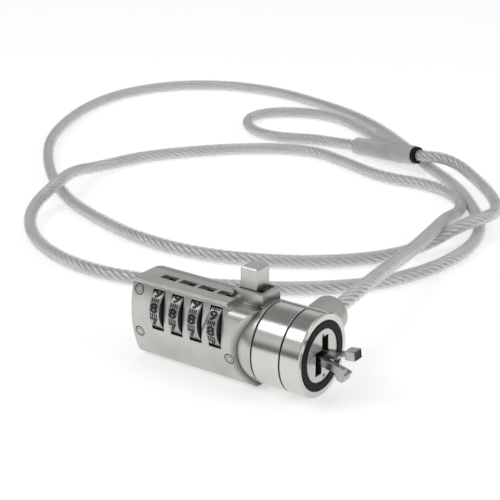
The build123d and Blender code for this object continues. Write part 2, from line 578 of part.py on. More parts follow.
# ---- cable: out of the boss, two loose loops, then through the sleeve and back as an eye ----
CABLE_ROUTE = [
    (10.475, 4.468, 11.341), (10.475, 22.5, 13.555), (6.0, 43.0, 11.7), (3.0, 58.0, 9.8),
    (-1.0, 78.0, 8.6), (-5.5, 97.0, 7.6), (-9.5, 113.0, 3.8), (-15.5, 127.5, 2.2), (-30.0, 137.0, 2.1),
    (-49.0, 134.5, 2.1), (-66.0, 141.0, 2.1), (-84.0, 147.0, 2.1), (-102.0, 138.0, 2.1),
    (-117.0, 122.5, 2.1), (-128.5, 106.0, 2.1), (-132.0, 88.0, 2.4), (-127.0, 71.0, 6.4),
    (-121.0, 57.5, 7.6), (-119.0, 43.0, 3.6), (-108.0, 30.5, 2.1), (-92.0, 21.0, 2.1),
    (-73.0, 17.0, 2.1), (-55.0, 20.0, 2.1), (-37.0, 28.0, 2.1), (-18.0, 38.5, 2.1), (-3.0, 53.0, 2.1),
    (4.5, 72.0, 2.1), (5.5, 92.0, 2.1), (0.5, 109.0, 2.1), (-10.0, 124.0, 2.1), (-24.0, 140.0, 2.1),
    (-42.0, 153.0, 2.1), (-59.0, 168.0, 2.1), (-76.0, 181.5, 2.1), (-95.0, 193.0, 2.1),
    (-117.0, 200.5, 2.1), (-140.0, 206.0, 2.1), (-163.0, 203.0, 2.1), (-181.0, 190.0, 2.1),
    (-189.5, 169.0, 2.1), (-188.0, 147.0, 2.1), (-180.0, 125.0, 2.1), (-169.0, 104.5, 2.1),
    (-154.0, 87.0, 2.1), (-136.0, 70.5, 2.1), (-118.0, 58.0, 2.1), (-100.0, 50.5, 2.1),
    (-80.0, 44.5, 2.1), (-59.0, 43.5, 2.1), (-40.0, 49.0, 2.1), (-23.0, 59.0, 2.1),
    (-11.0, 72.5, 2.1), (-5.5, 85.0, 2.6), (0.0, 96.5, 7.0), (3.5, 106.0, 7.4), (-0.5, 121.0, 4.0),
    (-9.0, 136.0, 2.1), (-20.0, 147.5, 2.4), (-33.0, 152.5, 6.6), (-45.0, 150.5, 6.4),
    (-54.0, 152.3, 5.0), (-63.5, 155.1, 3.9), (-73.5, 157.6, 3.1), (-83.0, 159.4, 2.1),
    (-91.0, 158.3, 2.1), (-98.0, 155.0, 2.1), (-106.0, 152.8, 2.1), (-115.0, 154.5, 2.1),
    (-123.5, 161.0, 2.1), (-127.5, 170.5, 2.1), (-124.5, 179.0, 2.1), (-117.0, 184.8, 2.1),
    (-108.0, 187.6, 2.1), (-98.5, 186.5, 2.1), (-88.5, 181.5, 2.1), (-79.5, 175.0, 2.6),
    (-71.0, 168.2, 3.1), (-62.6, 162.2, 3.9), (-54.7, 157.2, 4.6),
]


def bend_radii(points):
    """Radius of each bend: its arc uses 0.45 of the shorter run beside it."""
    radii = []
    for before, here, after in zip(points, points[1:], points[2:]):
        run_in = Vector(*here) - Vector(*before)
        run_out = Vector(*after) - Vector(*here)
        half_turn = math.radians(run_in.get_angle(run_out)) / 2
        radii.append(0.45 * min(run_in.length, run_out.length) / math.tan(half_turn))
    return radii


radii = bend_radii(CABLE_ROUTE)
print("bend radii of the cable, mm:", [round(r, 1) for r in radii])


def strand(radius):
    """A round strand of the given radius along the cable's route."""
    with BuildPart() as tube:
        with BuildLine() as path:
            FilletPolyline(*CABLE_ROUTE, radius=radii)
        with BuildSketch(Plane(origin=path.line @ 0, z_dir=path.line % 0)):
            Circle(radius)
        sweep()
    return tube.part


cable = strand(CABLE_R)
cable_bore = strand(CABLE_R + 0.03)
save(cable, "cable")
print("cable volume", round(cable.volume), "mm3")


def rod(start, end, radius):
    """A round rod from start to end."""
    direction = Vector(*end) - Vector(*start)
    with BuildPart() as bar:
        with BuildSketch(Plane(origin=start, z_dir=direction)):
            Circle(radius)
        extrude(amount=direction.length)
    return bar.part


# ---- eye sleeve: a moulded Y over the crimped ferrule that closes the eye ----
SLEEVE_R = 3.0
COLLAR_POINT = (-46.0, 150.7, 6.2)
FORK_POINT = (-54.0, 152.3, 5.0)
LOWER_POINT = (-73.0, 157.5, 3.15)
UPPER_POINT = (-71.0, 168.2, 3.1)
RETURN_END = (-54.7, 157.2, 4.6)
RETURN_TIP = (-52.9, 156.0, 4.8)
BAND_L = 1.4
with BuildPart() as sleeve_shape:
    add(rod(COLLAR_POINT, FORK_POINT, SLEEVE_R + 0.2))
    add(rod(FORK_POINT, LOWER_POINT, SLEEVE_R))
    add(rod(RETURN_TIP, UPPER_POINT, SLEEVE_R))
    for point in (FORK_POINT, RETURN_TIP):
        with Locations(point):
            Sphere(SLEEVE_R)
    web_plane = Plane(origin=FORK_POINT, x_dir=Vector(*LOWER_POINT) - Vector(*FORK_POINT),
                      z_dir=(Vector(*UPPER_POINT) - Vector(*FORK_POINT)).cross(
                          Vector(*LOWER_POINT) - Vector(*FORK_POINT)))
    corners = [web_plane.to_local_coords(Vector(*point))
               for point in (COLLAR_POINT, LOWER_POINT, UPPER_POINT, RETURN_TIP)]
    with BuildSketch(web_plane):
        with BuildLine():
            Polyline(*[(corner.X, corner.Y) for corner in corners], close=True)
        make_face()
    extrude(amount=1.3, both=True)

CRIMP_R = 2.6
CRIMP_START = (-56.5, 153.0, 4.7)
CRIMP_END = (-60.5, 154.2, 4.25)
with BuildPart() as loop_crimp:
    add(rod(CRIMP_START, CRIMP_END, CRIMP_R))
    add(rod(RETURN_END, (-58.65, 159.7, 4.25), CRIMP_R))
    add(cable_bore, mode=Mode.SUBTRACT)
save(loop_crimp.part, "loop_crimp")

with BuildPart() as loop_sleeve:
    add(sleeve_shape.part)
    add(cable_bore, mode=Mode.SUBTRACT)
    add(loop_crimp.part, mode=Mode.SUBTRACT)
save(loop_sleeve.part, "loop_sleeve")

with BuildPart() as sleeve_band:
    along = (Vector(*COLLAR_POINT) - Vector(*FORK_POINT)).normalized()
    add(rod(COLLAR_POINT, Vector(*COLLAR_POINT) + along * BAND_L, SLEEVE_R - 0.2))
    add(cable_bore, mode=Mode.SUBTRACT)
save(sleeve_band.part, "sleeve_band")
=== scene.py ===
# Looks of the laptop cable lock: camera, materials, the cable with its strands, the printed dials,
# and a pale floor under soft studio light. Lengths are in millimetres where MM turns them into metres.
import math

import bmesh
import bpy
from mathutils import Matrix, Vector


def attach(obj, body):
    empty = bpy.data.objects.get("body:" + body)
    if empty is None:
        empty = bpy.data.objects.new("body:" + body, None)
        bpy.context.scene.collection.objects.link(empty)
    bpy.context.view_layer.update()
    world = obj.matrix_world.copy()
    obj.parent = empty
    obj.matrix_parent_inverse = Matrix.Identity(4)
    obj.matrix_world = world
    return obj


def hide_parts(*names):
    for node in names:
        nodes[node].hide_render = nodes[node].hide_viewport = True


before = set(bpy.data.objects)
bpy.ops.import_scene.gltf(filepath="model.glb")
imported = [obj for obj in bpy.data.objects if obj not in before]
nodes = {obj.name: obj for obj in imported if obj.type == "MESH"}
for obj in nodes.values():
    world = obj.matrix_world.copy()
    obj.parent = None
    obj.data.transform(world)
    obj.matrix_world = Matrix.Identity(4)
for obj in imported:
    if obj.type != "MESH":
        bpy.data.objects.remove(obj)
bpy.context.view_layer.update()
MM = 0.001

# ---- camera ----
YAW, PITCH, ROLL = math.radians(125.869), math.radians(-20.905), math.radians(-0.145)
forward = Vector((math.cos(PITCH) * math.cos(YAW), math.cos(PITCH) * math.sin(YAW), math.sin(PITCH)))
right = Vector((math.sin(YAW), -math.cos(YAW), 0))
up = right.cross(forward)
right = right * math.cos(ROLL) + up * math.sin(ROLL)
up = right.cross(forward)
camera_data = bpy.data.cameras.new("camera")
camera_data.sensor_width = 36
camera_data.lens = 102.95
camera_data.clip_start = 0.01
camera = bpy.data.objects.new("camera", camera_data)
bpy.context.collection.objects.link(camera)
turn = Matrix((right, up, -forward)).transposed().to_4x4()
CAMERA_PLACE = (0.17774, -0.25130, 0.14741)
camera.matrix_world = Matrix.Translation(CAMERA_PLACE) @ turn
bpy.context.scene.camera = camera

# ---- positions shared with the CAD part ----
ORIGIN_SHIFT = 1.87       # the cable's route is drawn this much in front of where it lies
HEAD_Y, HEAD_Z = -4.58, 10.0
SPINDLE_Y, SPINDLE_Z = -9.38, 13.9
DIAL_PITCH = 5.6
DIAL_XS = [-20.9 + DIAL_PITCH * i for i in range(4)]
DIAL_R, HUB_R = 5.9, 3.2
CABLE_R = 2.0
POCKET_R = 6.25          # just outside the pockets the dials sit in; the pockets are painted near-black as shade up to here
POCKET_HALF = 1.74
POCKETS_END = -2.2
DOME_R, DOME_X, DOME_Y = 8.0, 6.4, 2.0      # the dome's arc: radius, middle, distance off the axis
DOME_SHADE_FADE = 1.6           # width of the painted shade band where the dome meets the housing
# how dark the painted shade beside the dome gets
DOME_SHADE_DEPTH = 0.85
# near-black painted as shade: in the dial pockets, in the gaps round the drive pins and beside the dome
PAINTED_SHADE_BLACK = (0.006, 0.006, 0.006)
MATTE = (0.54, 0.54, 0.515)
MATTE_EXTRA_ROUGH = 0.3
DRIVE_PINS = [(-26.8, 18.1), (-26.8, 7.4), (-0.3, 7.2)]
PIN_R = 1.15
# outer radius of the dark ring painted as shade in the gap round each drive pin
PIN_GAP_SHADE_R = 1.34
FRONT_ONLY = -8.0
CABLE_ROUTE = [
    (10.475, 4.468, 11.341), (10.475, 22.5, 13.555), (6.0, 43.0, 11.7), (3.0, 58.0, 9.8),
    (-1.0, 78.0, 8.6), (-5.5, 97.0, 7.6), (-9.5, 113.0, 3.8), (-15.5, 127.5, 2.2), (-30.0, 137.0, 2.1),
    (-49.0, 134.5, 2.1), (-66.0, 141.0, 2.1), (-84.0, 147.0, 2.1), (-102.0, 138.0, 2.1),
    (-117.0, 122.5, 2.1), (-128.5, 106.0, 2.1), (-132.0, 88.0, 2.4), (-127.0, 71.0, 6.4),
    (-121.0, 57.5, 7.6), (-119.0, 43.0, 3.6), (-108.0, 30.5, 2.1), (-92.0, 21.0, 2.1),
    (-73.0, 17.0, 2.1), (-55.0, 20.0, 2.1), (-37.0, 28.0, 2.1), (-18.0, 38.5, 2.1), (-3.0, 53.0, 2.1),
    (4.5, 72.0, 2.1), (5.5, 92.0, 2.1), (0.5, 109.0, 2.1), (-10.0, 124.0, 2.1), (-24.0, 140.0, 2.1),
    (-42.0, 153.0, 2.1), (-59.0, 168.0, 2.1), (-76.0, 181.5, 2.1), (-95.0, 193.0, 2.1),
    (-117.0, 200.5, 2.1), (-140.0, 206.0, 2.1), (-163.0, 203.0, 2.1), (-181.0, 190.0, 2.1),
    (-189.5, 169.0, 2.1), (-188.0, 147.0, 2.1), (-180.0, 125.0, 2.1), (-169.0, 104.5, 2.1),
    (-154.0, 87.0, 2.1), (-136.0, 70.5, 2.1), (-118.0, 58.0, 2.1), (-100.0, 50.5, 2.1),
    (-80.0, 44.5, 2.1), (-59.0, 43.5, 2.1), (-40.0, 49.0, 2.1), (-23.0, 59.0, 2.1),
    (-11.0, 72.5, 2.1), (-5.5, 85.0, 2.6), (0.0, 96.5, 7.0), (3.5, 106.0, 7.4), (-0.5, 121.0, 4.0),
    (-9.0, 136.0, 2.1), (-20.0, 147.5, 2.4), (-33.0, 152.5, 6.6), (-45.0, 150.5, 6.4),
    (-54.0, 152.3, 5.0), (-63.5, 155.1, 3.9), (-73.5, 157.6, 3.1), (-83.0, 159.4, 2.1),
    (-91.0, 158.3, 2.1), (-98.0, 155.0, 2.1), (-106.0, 152.8, 2.1), (-115.0, 154.5, 2.1),
    (-123.5, 161.0, 2.1), (-127.5, 170.5, 2.1), (-124.5, 179.0, 2.1), (-117.0, 184.8, 2.1),
    (-108.0, 187.6, 2.1), (-98.5, 186.5, 2.1), (-88.5, 181.5, 2.1), (-79.5, 175.0, 2.6),
    (-71.0, 168.2, 3.1), (-62.6, 162.2, 3.9), (-54.7, 157.2, 4.6),
]


# ---- materials ----
def material(name):
    """A new node material with its node tree and shader."""
    made = bpy.data.materials.new(name)
    made.use_nodes = True
    tree = made.node_tree
    return made, tree, tree.nodes["Principled BSDF"]


def noise(tree, scale, stretch=(1, 1, 1), detail=3.0):
    """Noise over the object's own coordinates, drawn out by stretch."""
    place = tree.nodes.new("ShaderNodeTexCoord")
    mapping = tree.nodes.new("ShaderNodeMapping")
    mapping.inputs["Scale"].default_value = stretch
    texture = tree.nodes.new("ShaderNodeTexNoise")
    texture.inputs["Scale"].default_value = scale
    texture.inputs["Detail"].default_value = detail
    tree.links.new(place.outputs["Object"], mapping.inputs["Vector"])
    tree.links.new(mapping.outputs["Vector"], texture.inputs["Vector"])
    return texture.outputs["Fac"]


def spread(tree, value, low, high, start=0.3, end=0.7):
    """Maps a noise value onto the range low to high."""
    fit = tree.nodes.new("ShaderNodeMapRange")
    fit.inputs["From Min"].default_value = start
    fit.inputs["From Max"].default_value = end
    fit.inputs["To Min"].default_value = low
    fit.inputs["To Max"].default_value = high
    tree.links.new(value, fit.inputs["Value"])
    return fit.outputs["Result"]


def tint(tree, value, dark, light, start=0.3, end=0.7):
    """Colour between dark and light along a noise value."""
    ramp = tree.nodes.new("ShaderNodeValToRGB")
    ramp.color_ramp.elements[0].position = start
    ramp.color_ramp.elements[0].color = (*dark, 1)
    ramp.color_ramp.elements[1].position = end
    ramp.color_ramp.elements[1].color = (*light, 1)
    tree.links.new(value, ramp.inputs["Fac"])
    return ramp.outputs["Color"]


def relief(tree, shader, value, depth, round_edges):
    """Bump from a value, on normals rounded over the edges."""
    bump = tree.nodes.new("ShaderNodeBump")
    bump.inputs["Distance"].default_value = depth
    bump.inputs["Strength"].default_value = 1.0
    tree.links.new(value, bump.inputs["Height"])
    if round_edges:
        bevel = tree.nodes.new("ShaderNodeBevel")
        bevel.samples = 6
        bevel.inputs["Radius"].default_value = round_edges
        tree.links.new(bevel.outputs["Normal"], bump.inputs["Normal"])
    tree.links.new(bump.outputs["Normal"], shader.inputs["Normal"])


def metal(name, dark, light, rough, grain, stretch=(1, 1, 1), depth=0.000004, round_edges=0.00022):
    """Metal with a broad tone change and a fine grain in its gloss and relief."""
    made, tree, shader = material(name)
    shader.inputs["Metallic"].default_value = 1.0
    broad = noise(tree, 160)
    fine = noise(tree, grain, stretch, 5.0)
    tree.links.new(tint(tree, broad, dark, light), shader.inputs["Base Color"])
    tree.links.new(spread(tree, fine, rough[0], rough[1]), shader.inputs["Roughness"])
    relief(tree, shader, fine, depth, round_edges)
    return made


def turned_metal(name, dark, light, rough, matte_from=None):
    """Lathe-turned metal: fine rings about the head's axis. Outside matte_from it is as cast."""
    made, tree, shader = material(name)
    shader.inputs["Metallic"].default_value = 1.0
    place = tree.nodes.new("ShaderNodeTexCoord")
    split = tree.nodes.new("ShaderNodeSeparateXYZ")
    tree.links.new(place.outputs["Object"], split.inputs["Vector"])
    flat = tree.nodes.new("ShaderNodeCombineXYZ")
    tree.links.new(split.outputs["Y"], flat.inputs["X"])
    tree.links.new(split.outputs["Z"], flat.inputs["Y"])
    offset = tree.nodes.new("ShaderNodeVectorMath")
    offset.operation = "DISTANCE"
    offset.inputs[1].default_value = (HEAD_Y * MM, HEAD_Z * MM, 0)
    tree.links.new(flat.outputs["Vector"], offset.inputs[0])
    rings = tree.nodes.new("ShaderNodeCombineXYZ")
    tree.links.new(split.outputs["X"], rings.inputs["X"])
    tree.links.new(offset.outputs["Value"], rings.inputs["Y"])
    lines = tree.nodes.new("ShaderNodeTexNoise")
    lines.inputs["Scale"].default_value = 5200
    lines.inputs["Detail"].default_value = 2.0
    tree.links.new(rings.outputs["Vector"], lines.inputs["Vector"])
    colour = tint(tree, noise(tree, 120), dark, light)
    roughness = spread(tree, lines.outputs["Fac"], rough[0], rough[1])
    if matte_from:
        mask = tree.nodes.new("ShaderNodeMapRange")
        mask.inputs["From Min"].default_value = matte_from
        mask.inputs["From Max"].default_value = matte_from + 0.0003
        tree.links.new(offset.outputs["Value"], mask.inputs["Value"])
        colour = mixed(tree, mask.outputs["Result"], colour, MATTE)
        rougher = tree.nodes.new("ShaderNodeMath")
        rougher.operation = "MULTIPLY_ADD"
        rougher.inputs[1].default_value = MATTE_EXTRA_ROUGH
        tree.links.new(mask.outputs["Result"], rougher.inputs[0])
        tree.links.new(roughness, rougher.inputs[2])
        roughness = rougher.outputs["Value"]
    tree.links.new(colour, shader.inputs["Base Color"])
    tree.links.new(roughness, shader.inputs["Roughness"])
    relief(tree, shader, lines.outputs["Fac"], 0.0000015, 0.0002)
    return made


def mask_below(tree, value, edge, soft=0.00003):
    """1 where the value is under the edge, 0 above it."""
    fit = tree.nodes.new("ShaderNodeMapRange")
    fit.inputs["From Min"].default_value = edge
    fit.inputs["From Max"].default_value = edge + soft
    fit.inputs["To Min"].default_value = 1.0
    fit.inputs["To Max"].default_value = 0.0
    tree.links.new(value, fit.inputs["Value"])
    return fit.outputs["Result"]


def math_node(tree, operation, first, second):
    """One arithmetic step on two values, each a socket or a number."""
    step = tree.nodes.new("ShaderNodeMath")
    step.operation = operation
    for socket, value in zip(step.inputs, (first, second)):
        if isinstance(value, float):
            socket.default_value = value
        else:
            tree.links.new(value, socket)
    return step.outputs["Value"]


def reach_from(tree, point, kept_axes):
    """Distance from a point, measured only along the kept axes."""
    place = tree.nodes.new("ShaderNodeTexCoord")
    flat = tree.nodes.new("ShaderNodeVectorMath")
    flat.operation = "MULTIPLY"
    flat.inputs[1].default_value = kept_axes
    away = tree.nodes.new("ShaderNodeVectorMath")
    away.operation = "DISTANCE"
    away.inputs[1].default_value = [c * k * MM for c, k in zip(point, kept_axes)]
    tree.links.new(place.outputs["Object"], flat.inputs[0])
    tree.links.new(flat.outputs["Vector"], away.inputs[0])
    return away.outputs["Value"]


def nearest_pin(tree):
    """Distance from the nearest drive pin's axis."""
    nearest = None
    for x, z in DRIVE_PINS:
        reach = reach_from(tree, (x, 0, z), (1, 0, 1))
        nearest = math_node(tree, "MINIMUM", nearest, reach) if nearest else reach
    return nearest


def mixed(tree, mask, colour, other):
    """The colour where the mask is 0 and the other colour where it is 1."""
    blend = tree.nodes.new("ShaderNodeMixRGB")
    blend.inputs["Color2"].default_value = (*other, 1)
    tree.links.new(mask, blend.inputs["Fac"])
    tree.links.new(colour, blend.inputs["Color1"])
    return blend.outputs["Color"]


def cast_housing(name, dark, light, rough):
    """Satin zinc with painted shade: near-black dial pockets, a dark ring in the gap round each drive pin,
    and a soft dark band beside the dome.
    """
    made, tree, shader = material(name)
    shader.inputs["Metallic"].default_value = 1.0
    place = tree.nodes.new("ShaderNodeTexCoord")
    split = tree.nodes.new("ShaderNodeSeparateXYZ")
    tree.links.new(place.outputs["Object"], split.inputs["Vector"])
    pocket = mask_below(tree, reach_from(tree, (0, SPINDLE_Y, SPINDLE_Z), (0, 1, 1)), POCKET_R * MM)
    left = mask_below(tree, split.outputs["X"], POCKETS_END * MM)
    along = math_node(tree, "SUBTRACT", split.outputs["X"], (DIAL_XS[0] - DIAL_PITCH / 2) * MM)
    share = math_node(tree, "FRACT", math_node(tree, "DIVIDE", along, DIAL_PITCH * MM), 0.0)
    off_middle = math_node(tree, "ABSOLUTE", math_node(tree, "SUBTRACT", share, 0.5), 0.0)
    between = mask_below(tree, off_middle, POCKET_HALF / DIAL_PITCH, 0.002)
    before = mask_below(tree, split.outputs["X"], (DIAL_XS[0] - DIAL_PITCH / 2) * MM)
    between = math_node(tree, "MULTIPLY", between, math_node(tree, "SUBTRACT", 1.0, before))
    # painted shade: the dial pockets are coloured near-black
    inside = math_node(tree, "MULTIPLY", math_node(tree, "MULTIPLY", pocket, left), between)
    front = mask_below(tree, split.outputs["Y"], FRONT_ONLY * MM)
    # painted shade: a dark ring on the housing's front in the gap round each drive pin
    pin_gap_shade = math_node(tree, "MULTIPLY", mask_below(tree, nearest_pin(tree), PIN_GAP_SHADE_R * MM), front)
    around_dome = tree.nodes.new("ShaderNodeCombineXYZ")
    tree.links.new(split.outputs["X"], around_dome.inputs["X"])
    tree.links.new(reach_from(tree, (0, HEAD_Y, HEAD_Z), (0, 1, 1)), around_dome.inputs["Y"])
    off_dome = tree.nodes.new("ShaderNodeVectorMath")
    off_dome.operation = "DISTANCE"
    off_dome.inputs[1].default_value = (DOME_X * MM, DOME_Y * MM, 0)
    tree.links.new(around_dome.outputs["Vector"], off_dome.inputs[0])
    # painted shade: a soft dark band on the housing where it meets the dome
    outside = mask_below(tree, off_dome.outputs["Value"], (DOME_R + 0.03) * MM, 0.00002)
    dome_shade = mask_below(tree, off_dome.outputs["Value"], (DOME_R + 0.1) * MM, DOME_SHADE_FADE * MM)
    dome_shade = math_node(tree, "MULTIPLY", dome_shade, math_node(tree, "SUBTRACT", 1.0, outside))
    dome_shade = math_node(tree, "MULTIPLY", dome_shade, mask_below(tree, split.outputs["X"], DOME_X * MM))
    dome_shade = math_node(tree, "MULTIPLY", dome_shade, DOME_SHADE_DEPTH)
    # all painted shade: the pockets, the pin gaps and the band beside the dome darken the colour
    shade = math_node(tree, "MAXIMUM", math_node(tree, "MAXIMUM", inside, pin_gap_shade), dome_shade)
    fine = noise(tree, 2600, (1, 1, 1), 5.0)
    colour = tint(tree, noise(tree, 160), dark, light)
    tree.links.new(mixed(tree, shade, colour, PAINTED_SHADE_BLACK), shader.inputs["Base Color"])
    tree.links.new(spread(tree, fine, rough[0], rough[1]), shader.inputs["Roughness"])
    relief(tree, shader, fine, 0.000004, 0.0004)
    return made


def pin_metal(name, dark, light, rough):
    """Headed pins: a turned groove, a shallow centre and a rolled rim; the colour follows the same heights,
    so the low places are painted darker as shade.
    """
    made, tree, shader = material(name)
    shader.inputs["Metallic"].default_value = 1.0
    reach = math_node(tree, "DIVIDE", nearest_pin(tree), PIN_R * MM)
    height_and_shade = tree.nodes.new("ShaderNodeValToRGB")
    steps = [(0.0, 0.25), (0.16, 0.8), (0.50, 0.9), (0.58, 0.1), (0.66, 0.1), (0.72, 1.0), (0.88, 0.9),
             (1.0, 0.0)]
    heights = height_and_shade.color_ramp.elements
    heights[0].position, heights[0].color = steps[0][0], (steps[0][1],) * 3 + (1,)
    heights[1].position, heights[1].color = steps[-1][0], (steps[-1][1],) * 3 + (1,)
    for position, level in steps[1:-1]:
        heights.new(position).color = (level, level, level, 1)
    tree.links.new(reach, height_and_shade.inputs["Fac"])
    # painted shade: the colour is taken from the heights, darker where the groove, the centre and the edge
    # sit low
    tree.links.new(tint(tree, height_and_shade.outputs["Color"], dark, light, 0.0, 0.9), shader.inputs["Base Color"])
    tree.links.new(spread(tree, noise(tree, 1800), rough[0], rough[1]), shader.inputs["Roughness"])
    relief(tree, shader, height_and_shade.outputs["Color"], 0.00012, 0.0001)
    return made


def plastic(name, dark, light, rough, grain, depth, round_edges=0.0):
    """Plastic, rubber or paint with one fine grain."""
    made, tree, shader = material(name)
    fine = noise(tree, grain)
    tree.links.new(tint(tree, fine, dark, light), shader.inputs["Base Color"])
    tree.links.new(spread(tree, fine, rough[0], rough[1]), shader.inputs["Roughness"])
    relief(tree, shader, fine, depth, round_edges)
    return made


def clear_plastic(name, dark, light, alpha, rough):
    """A milky see-through plastic: the shader's alpha lets the inside show."""
    made = plastic(name, dark, light, rough, 700, 0.00001)
    made.node_tree.nodes["Principled BSDF"].inputs["Alpha"].default_value = alpha
    return made


ZINC = metal("zinc_satin", (0.50, 0.50, 0.475), (0.58, 0.58, 0.555), (0.30, 0.40), 2600)
BUTTON = metal("button_brushed", (0.56, 0.56, 0.53), (0.62, 0.62, 0.59), (0.26, 0.36), 1500,
               (1, 1, 0.08), 0.000003, 0.00030)
HEAD = turned_metal("head_turned", (0.60, 0.60, 0.575), (0.66, 0.66, 0.635), (0.15, 0.24))
RING = turned_metal("ring_turned", (0.60, 0.60, 0.575), (0.66, 0.66, 0.635), (0.15, 0.24), 0.0102)
DISC = turned_metal("disc_turned", (0.52, 0.52, 0.50), (0.60, 0.60, 0.575), (0.22, 0.32))
HOOK = metal("hook_plated", (0.34, 0.34, 0.335), (0.50, 0.50, 0.49), (0.14, 0.24), 1200, round_edges=0.0003)
DIAL = metal("dial_satin", (0.36, 0.36, 0.35), (0.46, 0.46, 0.445), (0.30, 0.40), 2400,
             round_edges=0.00008)
PINS = pin_metal("pin_heads", (0.05, 0.05, 0.05), (0.60, 0.60, 0.575), (0.28, 0.42))
HOUSING = cast_housing("housing_satin_with_painted_shade", (0.50, 0.50, 0.475), (0.58, 0.58, 0.555), (0.28, 0.38))
BRASS = metal("brass", (0.55, 0.40, 0.17), (0.66, 0.50, 0.24), (0.24, 0.36), 1500)
STEEL = metal("spring_steel", (0.34, 0.34, 0.35), (0.44, 0.44, 0.45), (0.25, 0.36), 1500)
CRIMP = metal("crimp", (0.20, 0.20, 0.20), (0.30, 0.30, 0.295), (0.35, 0.5), 1500)
RUBBER = plastic("rubber", (0.002, 0.002, 0.002), (0.006, 0.006, 0.006), (0.5, 0.65), 1800, 0.00001,
                 0.00025)
RUBBER.node_tree.nodes["Principled BSDF"].inputs["Specular IOR Level"].default_value = 0.2
# near-black: paint on the numerals and the hook's end panel, the dials' rib grooves, and painted shade on
# the dials' flanks
BLACK_PAINT_AND_SHADE = plastic("black_paint_and_shade", (0.004, 0.004, 0.004), (0.010, 0.010, 0.010), (0.4, 0.5), 1500, 0.000004)
STRAND = metal("strand_wire", (0.62, 0.625, 0.62), (0.76, 0.765, 0.76), (0.30, 0.42), 2200,
               round_edges=0.0)
SHEATH = clear_plastic("sheath_clear", (0.84, 0.85, 0.84), (0.92, 0.93, 0.92), 0.35, (0.18, 0.26))
SLEEVE = clear_plastic("sleeve_milky", (0.58, 0.58, 0.565), (0.68, 0.68, 0.665), 0.72, (0.30, 0.40))

looks = {
    "housing": HOUSING, "rear_cover": ZINC, "drive_pins": PINS, "spindle": BRASS, "yoke": STEEL,
    "plunger": BRASS, "plunger_spring": STEEL, "button": BUTTON, "button_spring": STEEL,
    "detent_spring": STEEL, "reset_screw": STEEL, "swivel_ring": RING, "cable_ferrule": CRIMP,
    "nose_cap": HEAD, "rubber_ring": RUBBER, "nose_core": DISC, "hook_pin": STEEL, "upper_arm": HOOK,
    "lower_arm": HOOK, "loop_crimp": CRIMP, "sleeve_band": RUBBER,
    "hub_1": BRASS, "hub_2": BRASS, "hub_3": BRASS, "hub_4": BRASS,
}
for name, look in looks.items():
    nodes[name].data.materials.clear()
    nodes[name].data.materials.append(look)


# ---- mesh helpers ----
def add_mesh(name, verts, faces, look, smooth=True):
    """A mesh object in the scene."""
    mesh = bpy.data.meshes.new(name)
    mesh.from_pydata(verts, [], faces)
    mesh.materials.append(look)
    for polygon in mesh.polygons:
        polygon.use_smooth = smooth
    mesh.update()
    made = bpy.data.objects.new(name, mesh)
    bpy.context.collection.objects.link(made)
    return made


def steady_frames(points):
    """A frame at each point that doesn't twist along the line: tangent, side, other side."""
    frames = []
    side = Vector((0, 0, 1))
    for i, point in enumerate(points):
        tangent = (points[min(i + 1, len(points) - 1)] - points[max(i - 1, 0)]).normalized()
        side = (side - tangent * side.dot(tangent)).normalized()
        frames.append((tangent, side, tangent.cross(side)))
    return frames


def tube(name, points, radius, sides, look):
    """A closed round tube along a line."""
    frames = steady_frames(points)
    verts = []
    for point, (_, side, other) in zip(points, frames):
        for j in range(sides):
            a = 2 * math.pi * j / sides
            verts.append(point + (side * math.cos(a) + other * math.sin(a)) * radius)
    faces = []
    for i in range(len(points) - 1):
        for j in range(sides):
            a, b = i * sides + j, i * sides + (j + 1) % sides
            faces.append((a, b, b + sides, a + sides))
    last = (len(points) - 1) * sides
    faces.append(tuple(reversed(range(sides))))
    faces.append(tuple(last + j for j in range(sides)))
    return add_mesh(name, verts, faces, look)


# ---- cable: clear sheath, laid steel strands inside ----
curve_data = bpy.data.curves.new("cable_sheath", "CURVE")
curve_data.dimensions = "3D"
spline = curve_data.splines.new("NURBS")
spline.points.add(len(CABLE_ROUTE) - 1)
for control, place in zip(spline.points, CABLE_ROUTE):
    control.co = (place[0] * MM, (place[1] + ORIGIN_SHIFT) * MM, place[2] * MM, 1)
spline.order_u = 3
spline.use_endpoint_u = True
spline.resolution_u = 12
sheath = bpy.data.objects.new("cable_sheath", curve_data)
bpy.context.collection.objects.link(sheath)
bpy.context.view_layer.update()
line_mesh = bpy.data.meshes.new_from_object(sheath)
line = [v.co.copy() for v in line_mesh.vertices]
bpy.data.meshes.remove(line_mesh)
curve_data.bevel_depth = CABLE_R * MM
curve_data.bevel_resolution = 5
curve_data.use_fill_caps = True
curve_data.materials.append(SHEATH)


def resample(points, step):
    """The same line in equal steps."""
    made = [points[0].copy()]
    left = step
    for a, b in zip(points, points[1:]):
        length = (b - a).length
        done = 0.0
        while length - done >= left:
            done += left
            made.append(a.lerp(b, done / length))
            left = step
        left -= length - done
    return made


STRANDS = 6
LAY = 15.0                # length of one full turn of a strand
STRAND_R = 0.52
STRAND_RING = 1.26
CORE_R = 0.9
STEP = 0.9
path = resample(line, STEP * MM)
path_frames = steady_frames(path)
strand_objects = [tube("cable_core", path, CORE_R * MM, 8, CRIMP)]
for s in range(STRANDS):
    wire = []
    for i, (point, (_, side, other)) in enumerate(zip(path, path_frames)):
        a = 2 * math.pi * (i * STEP / LAY + s / STRANDS)
        wire.append(point + (side * math.cos(a) + other * math.sin(a)) * STRAND_RING * MM)
    strand_objects.append(tube(f"cable_strand_{s + 1}", wire, STRAND_R * MM, 6, STRAND))
for piece in strand_objects:
    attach(piece, "swivel")
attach(sheath, "swivel")
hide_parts("cable")

